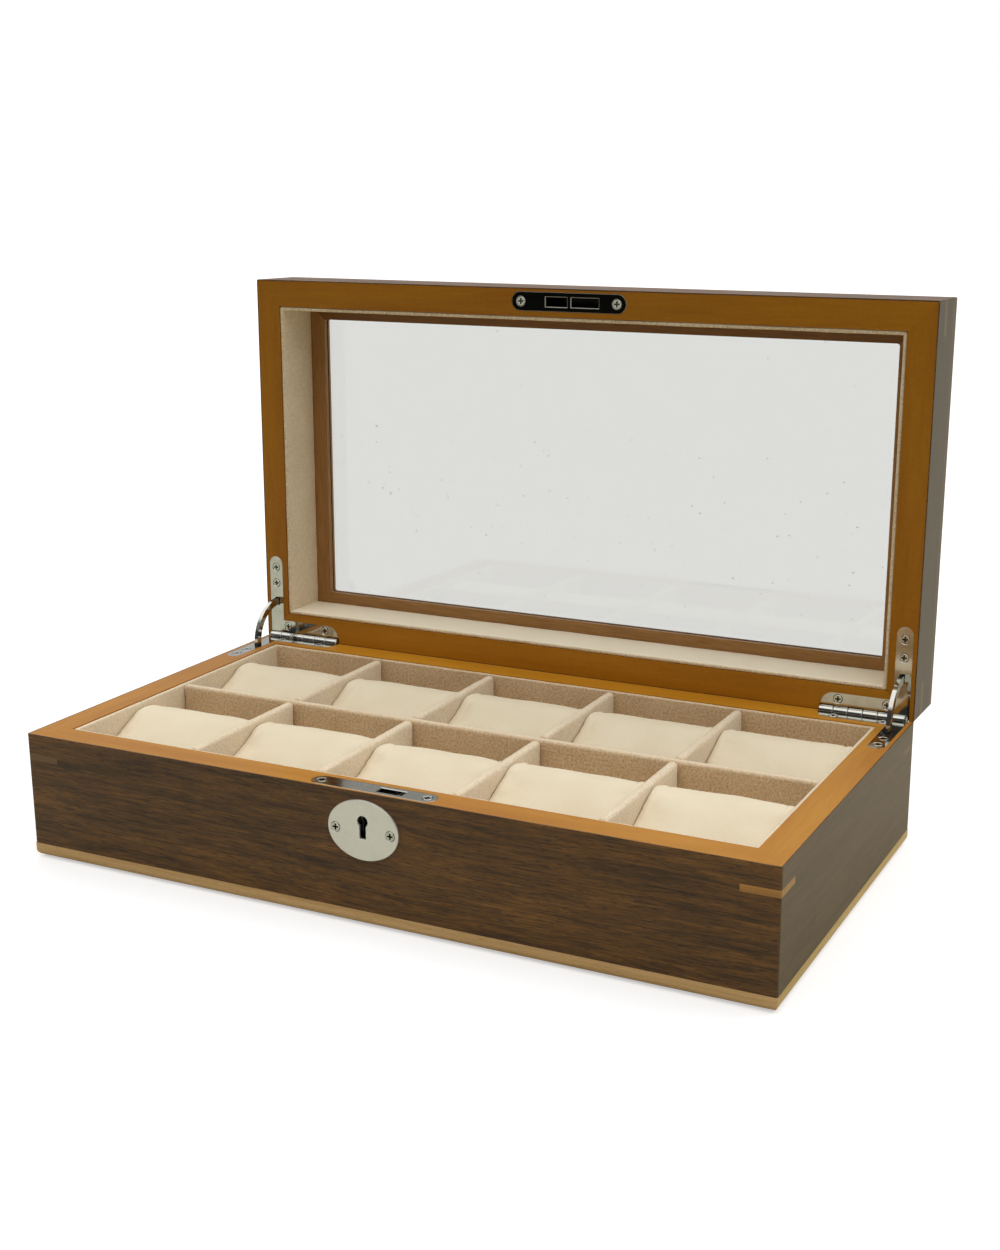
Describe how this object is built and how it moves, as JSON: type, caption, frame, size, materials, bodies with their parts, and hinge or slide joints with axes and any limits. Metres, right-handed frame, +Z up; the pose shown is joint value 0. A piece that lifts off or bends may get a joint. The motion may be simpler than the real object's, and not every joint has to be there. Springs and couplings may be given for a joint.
{
  "type": "watch box",
  "caption": "Mitred wooden watch box: velvet-lined compartments with loose cushions, a glazed lid on quadrant hinges with curved stay arms, and a key lock whose hook bolt meets a strike.",
  "frame": {"origin": "centre of the underside of the base felt, on the surface the box stands on", "axes": "+X right along the length, +Y to the back where the hinges are, +Z up"},
  "size_m": [0.365, 0.233, 0.256],
  "materials": {
    "walnut": "satin lacquered walnut veneer",
    "honey_wood": "honey-stained solid wood, satin",
    "beech": "satin beech",
    "key_wood": "pale inlaid key wood, satin",
    "plywood": "plain",
    "velvet_lining": "short-pile velvet",
    "cushion_velour": "soft cream velour",
    "felt": "dark felt",
    "chrome": "polished chrome",
    "satin_steel": "satin nickel",
    "lock_steel": "plain steel",
    "black_nickel": "polished black nickel",
    "glass": "clear"
  },
  "bodies": {
    "case": {"base_felt": "felt", "base_band": "beech", "bottom_board": "plywood", "floor_lining": "velvet_lining", "case_wall_front": "honey_wood", "case_wall_back": "honey_wood", "case_wall_left": "honey_wood", "case_wall_right": "honey_wood", "case_veneer": "walnut", "case_corner_keys": "key_wood", "case_lining_front": "velvet_lining", "case_lining_back": "velvet_lining", "case_lining_left": "velvet_lining", "case_lining_right": "velvet_lining", "long_divider": "velvet_lining", "cross_divider_1": "velvet_lining", "cross_divider_2": "velvet_lining", "cross_divider_3": "velvet_lining", "cross_divider_4": "velvet_lining", "hinge_case_leaf_left": "chrome", "hinge_case_leaf_right": "chrome", "hinge_pins": "chrome", "hinge_case_screws": "chrome", "lock_case": "lock_steel", "lock_face_plate": "satin_steel", "lock_screws": "chrome", "lock_pivot_pin": "lock_steel", "escutcheon": "satin_steel", "escutcheon_screws": "chrome"},
    "lid": {"lid_wall_front": "honey_wood", "lid_wall_back": "honey_wood", "lid_wall_left": "honey_wood", "lid_wall_right": "honey_wood", "lid_veneer": "walnut", "lid_corner_keys": "key_wood", "lid_top_rail_front": "walnut", "lid_top_rail_back": "walnut", "lid_top_rail_left": "walnut", "lid_top_rail_right": "walnut", "lid_glass": "glass", "lid_lining": "velvet_lining", "hinge_lid_leaf_left": "chrome", "hinge_lid_leaf_right": "chrome", "hinge_lid_screws": "chrome", "strike_plate": "black_nickel", "strike_screws": "chrome"},
    "stay_arm_left": {"stay_arm_left": "chrome"},
    "stay_arm_right": {"stay_arm_right": "chrome"},
    "hook_bolt": {"lock_hook_bolt": "lock_steel"},
    "cushion_front_1": {"cushion_front_1": "cushion_velour"},
    "cushion_front_2": {"cushion_front_2": "cushion_velour"},
    "cushion_front_3": {"cushion_front_3": "cushion_velour"},
    "cushion_front_4": {"cushion_front_4": "cushion_velour"},
    "cushion_front_5": {"cushion_front_5": "cushion_velour"},
    "cushion_back_1": {"cushion_back_1": "cushion_velour"},
    "cushion_back_2": {"cushion_back_2": "cushion_velour"},
    "cushion_back_3": {"cushion_back_3": "cushion_velour"},
    "cushion_back_4": {"cushion_back_4": "cushion_velour"},
    "cushion_back_5": {"cushion_back_5": "cushion_velour"}
  },
  "joints": [
    {"name": "lid_hinge", "type": "hinge", "parent": "case", "child": "lid", "pos_m": [0, 0.0972, 0.06115], "axis": [-1, 0, 0], "range_deg": [-91, 0]},
    {"name": "stay_arm_left_hinge", "type": "hinge", "parent": "case", "child": "stay_arm_left", "pos_m": [-0.1757, 0.0972, 0.06115], "axis": [-1, 0, 0], "range_deg": [-45.5, 0]},
    {"name": "stay_arm_right_hinge", "type": "hinge", "parent": "case", "child": "stay_arm_right", "pos_m": [0.1757, 0.0972, 0.06115], "axis": [-1, 0, 0], "range_deg": [-45.5, 0]},
    {"name": "hook_bolt_hinge", "type": "hinge", "parent": "case", "child": "hook_bolt", "pos_m": [-0.009, -0.0912, 0.051], "axis": [0, -1, 0], "range_deg": [0, 34]},
    {"name": "lift_cushion_front_1", "type": "slide", "parent": "case", "child": "cushion_front_1", "axis": [0, 0, 1], "range_m": [0, 0.06]},
    {"name": "lift_cushion_front_2", "type": "slide", "parent": "case", "child": "cushion_front_2", "axis": [0, 0, 1], "range_m": [0, 0.06]},
    {"name": "lift_cushion_front_3", "type": "slide", "parent": "case", "child": "cushion_front_3", "axis": [0, 0, 1], "range_m": [0, 0.06]},
    {"name": "lift_cushion_front_4", "type": "slide", "parent": "case", "child": "cushion_front_4", "axis": [0, 0, 1], "range_m": [0, 0.06]},
    {"name": "lift_cushion_front_5", "type": "slide", "parent": "case", "child": "cushion_front_5", "axis": [0, 0, 1], "range_m": [0, 0.06]},
    {"name": "lift_cushion_back_1", "type": "slide", "parent": "case", "child": "cushion_back_1", "axis": [0, 0, 1], "range_m": [0, 0.06]},
    {"name": "lift_cushion_back_2", "type": "slide", "parent": "case", "child": "cushion_back_2", "axis": [0, 0, 1], "range_m": [0, 0.06]},
    {"name": "lift_cushion_back_3", "type": "slide", "parent": "case", "child": "cushion_back_3", "axis": [0, 0, 1], "range_m": [0, 0.06]},
    {"name": "lift_cushion_back_4", "type": "slide", "parent": "case", "child": "cushion_back_4", "axis": [0, 0, 1], "range_m": [0, 0.06]},
    {"name": "lift_cushion_back_5", "type": "slide", "parent": "case", "child": "cushion_back_5", "axis": [0, 0, 1], "range_m": [0, 0.06]}
  ],
  "couplings": [
    {"joint": "stay_arm_left_hinge", "follows": "lid_hinge", "ratio": 0.5},
    {"joint": "stay_arm_right_hinge", "follows": "lid_hinge", "ratio": 0.5}
  ]
}
